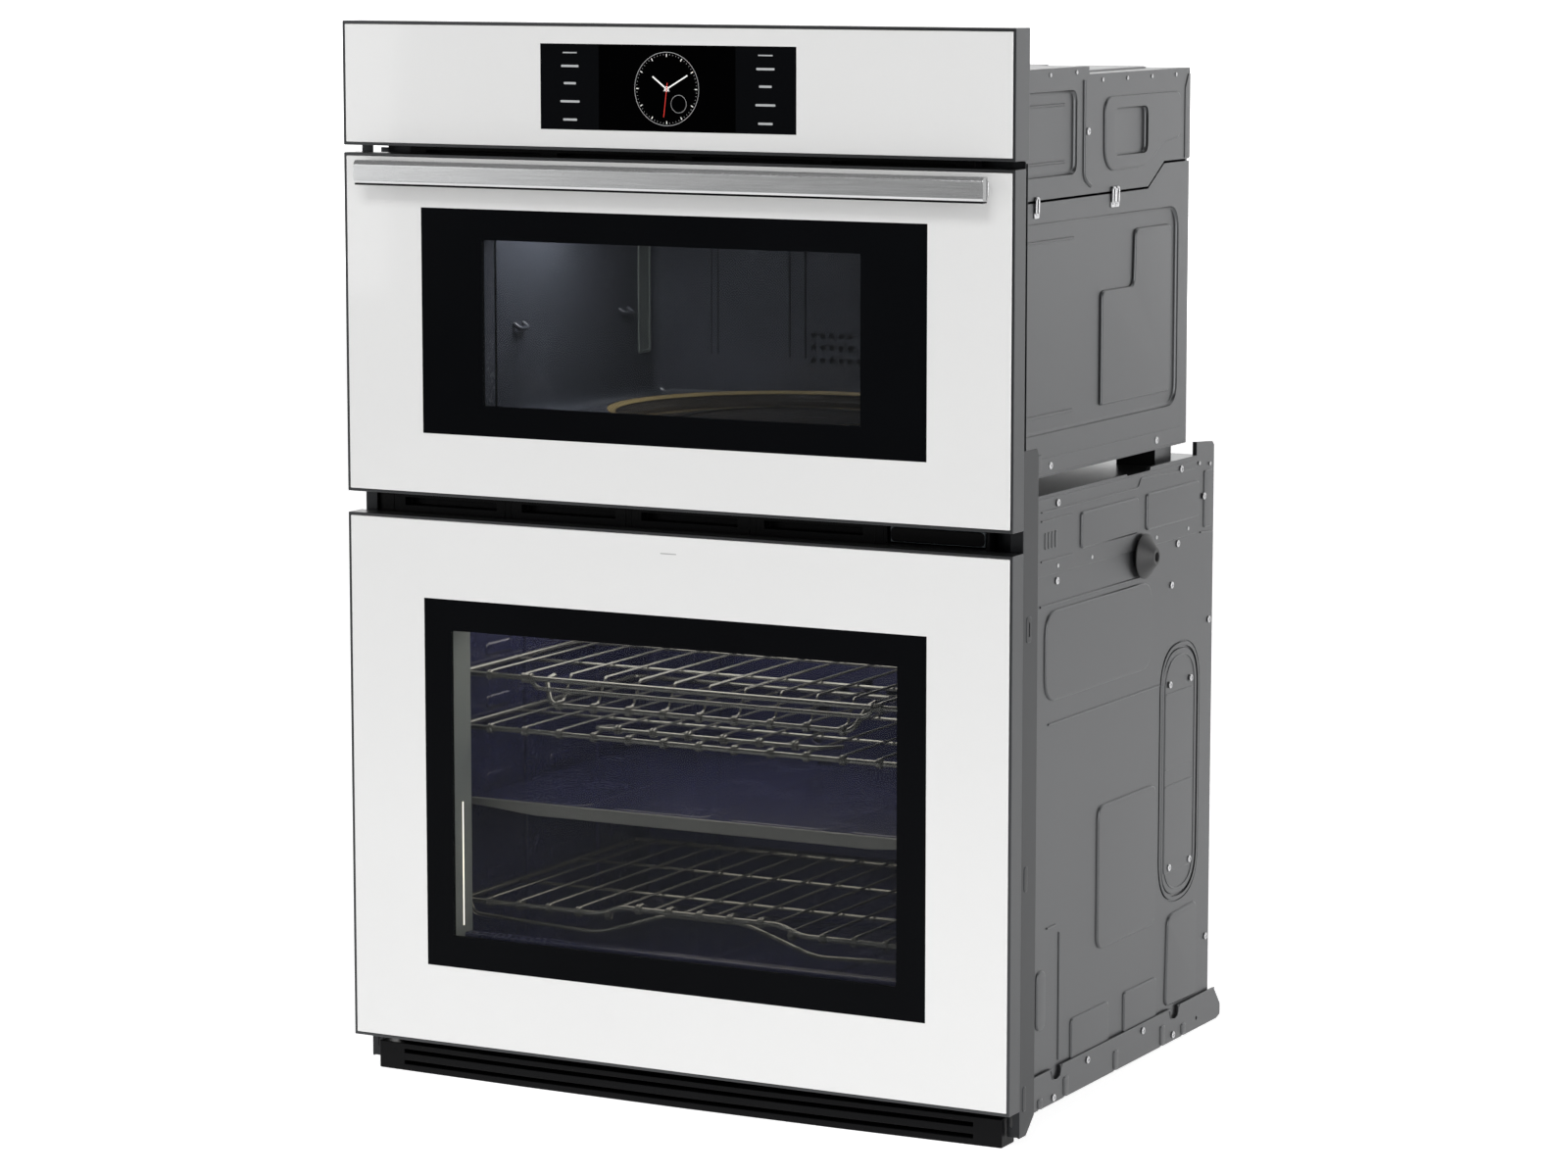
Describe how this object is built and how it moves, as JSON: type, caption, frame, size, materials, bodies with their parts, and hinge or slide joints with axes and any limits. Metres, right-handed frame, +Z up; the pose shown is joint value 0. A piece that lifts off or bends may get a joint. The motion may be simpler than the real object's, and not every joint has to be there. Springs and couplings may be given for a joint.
{
  "type": "wall oven",
  "caption": "Built-in wall oven: white glass control panel, microwave with drop-down door and bar handle above a larger convection oven with a drop-down door, in a steel casing.",
  "frame": {"origin": "bottom centre of the object's box, level with the underside of the skids", "axes": "+Z up, -Y out of the front (the doors open towards -Y), +X to the right as seen from the front"},
  "size_m": [0.757, 0.597, 1.0933],
  "materials": {
    "galvanised": "zinc-coated steel sheet, dull spangle",
    "grey_trim": "satin grey paint on folded steel",
    "black_plastic": "fine moulded texture",
    "rubber_black": "matt moulded rubber",
    "navy_enamel": "speckled vitreous enamel",
    "grey_enamel": "smooth enamel",
    "insulation": "glass-fibre wool and braid",
    "heater_sheath": "heat-browned metal sheath",
    "cast_metal": "as cast",
    "clear_glass": "clear toughened glass",
    "white_glass": "white back-painted toughened glass, polished",
    "edge_metal": "satin metal edge",
    "brushed_steel": "brushed along its length",
    "chrome_wire": "bright plated wire",
    "board": "circuit board and wound parts",
    "tank_plastic": "smoky translucent plastic"
  },
  "bodies": {
    "carcass": {"base_pan": "galvanised", "lower_side_right": "galvanised", "lower_side_left": "galvanised", "lower_back_panel": "galvanised", "deck_panel": "galvanised", "foot_bracket_right": "galvanised", "foot_bracket_left": "galvanised", "side_bumper": "rubber_black", "front_frame": "grey_trim", "side_trim_right": "grey_trim", "side_trim_left": "grey_trim", "bottom_vent_trim": "black_plastic", "middle_vent_trim": "black_plastic", "top_vent_trim": "black_plastic", "lower_cavity": "navy_enamel", "oven_insulation": "insulation", "broil_element": "heater_sheath", "convection_element": "heater_sheath", "fan_cover": "navy_enamel", "fan_motor": "cast_metal", "oven_lamp": "clear_glass", "door_gasket": "insulation", "lower_hinge_right": "galvanised", "lower_hinge_left": "galvanised", "upper_hinge_right": "galvanised", "upper_hinge_left": "galvanised", "upper_side_right": "galvanised", "upper_side_left": "galvanised", "upper_back_panel": "galvanised", "upper_top_cover": "galvanised", "terminal_box": "galvanised", "microwave_cavity": "grey_enamel", "turntable_motor": "cast_metal", "magnetron": "cast_metal", "power_inverter": "board", "blower_housing": "galvanised", "control_panel_frame": "edge_metal", "control_panel_glass": "white_glass", "display_module": "black_plastic", "reservoir_housing": "black_plastic"},
    "lower_door": {"lower_door_frame": "edge_metal", "lower_door_outer_glass": "white_glass", "lower_door_liner": "navy_enamel", "lower_door_inner_glass": "clear_glass"},
    "upper_door": {"upper_door_frame": "edge_metal", "upper_door_outer_glass": "white_glass", "upper_door_choke_panel": "grey_enamel", "upper_door_inner_screen": "clear_glass", "handle_bar": "brushed_steel", "handle_post_right": "brushed_steel", "handle_post_left": "brushed_steel"},
    "turntable": {"turntable_plate": "clear_glass"},
    "roller_ring": {"roller_ring": "black_plastic"},
    "convection_fan": {"convection_fan": "cast_metal"},
    "blower_wheel": {"blower_wheel": "cast_metal"},
    "reservoir": {"reservoir_tray": "tank_plastic"},
    "upper_rack": {"upper_rack": "chrome_wire"},
    "middle_rack": {"middle_rack": "chrome_wire"},
    "divider": {"divider_plate": "grey_enamel"},
    "lower_rack": {"lower_rack": "chrome_wire"}
  },
  "joints": [
    {"name": "lower_door_hinge", "type": "hinge", "parent": "carcass", "child": "lower_door", "pos_m": [0, -0.2675, 0.049], "axis": [1, 0, 0], "range_deg": [0, 90], "stiffness_Nm_per_rad": 14, "springref_deg": -20.05},
    {"name": "upper_door_hinge", "type": "hinge", "parent": "carcass", "child": "upper_door", "pos_m": [0, -0.2675, 0.6226], "axis": [1, 0, 0], "range_deg": [0, 90], "stiffness_Nm_per_rad": 8, "springref_deg": -20.05},
    {"name": "turntable_turn", "type": "hinge", "parent": "carcass", "child": "turntable", "pos_m": [0, -0.0385, 0.686], "axis": [0, 0, 1], "continuous": true},
    {"name": "roller_ring_turn", "type": "hinge", "parent": "carcass", "child": "roller_ring", "pos_m": [0, -0.0385, 0.682], "axis": [0, 0, 1], "continuous": true},
    {"name": "convection_fan_spin", "type": "hinge", "parent": "carcass", "child": "convection_fan", "pos_m": [0, 0.1835, 0.313], "axis": [0, 1, 0], "continuous": true},
    {"name": "blower_spin", "type": "hinge", "parent": "carcass", "child": "blower_wheel", "pos_m": [0, 0.0515, 0.978], "axis": [1, 0, 0], "continuous": true},
    {"name": "reservoir_slide", "type": "slide", "parent": "carcass", "child": "reservoir", "axis": [0, -1, 0], "range_m": [0, 0.19]},
    {"name": "upper_rack_slide", "type": "slide", "parent": "carcass", "child": "upper_rack", "axis": [0, -1, 0], "range_m": [0, 0.299]},
    {"name": "middle_rack_slide", "type": "slide", "parent": "carcass", "child": "middle_rack", "axis": [0, -1, 0], "range_m": [0, 0.299]},
    {"name": "divider_slide", "type": "slide", "parent": "carcass", "child": "divider", "axis": [0, -1, 0], "range_m": [0, 0.2204]},
    {"name": "lower_rack_slide", "type": "slide", "parent": "carcass", "child": "lower_rack", "axis": [0, -1, 0], "range_m": [0, 0.1733]}
  ],
  "couplings": [
    {"joint": "roller_ring_turn", "follows": "turntable_turn", "ratio": 0.5},
    {"joint": "upper_rack_slide", "follows": "lower_door_hinge", "m_per_rad": 0.19},
    {"joint": "middle_rack_slide", "follows": "lower_door_hinge", "m_per_rad": 0.19},
    {"joint": "divider_slide", "follows": "lower_door_hinge", "m_per_rad": 0.14},
    {"joint": "lower_rack_slide", "follows": "lower_door_hinge", "m_per_rad": 0.11}
  ]
}
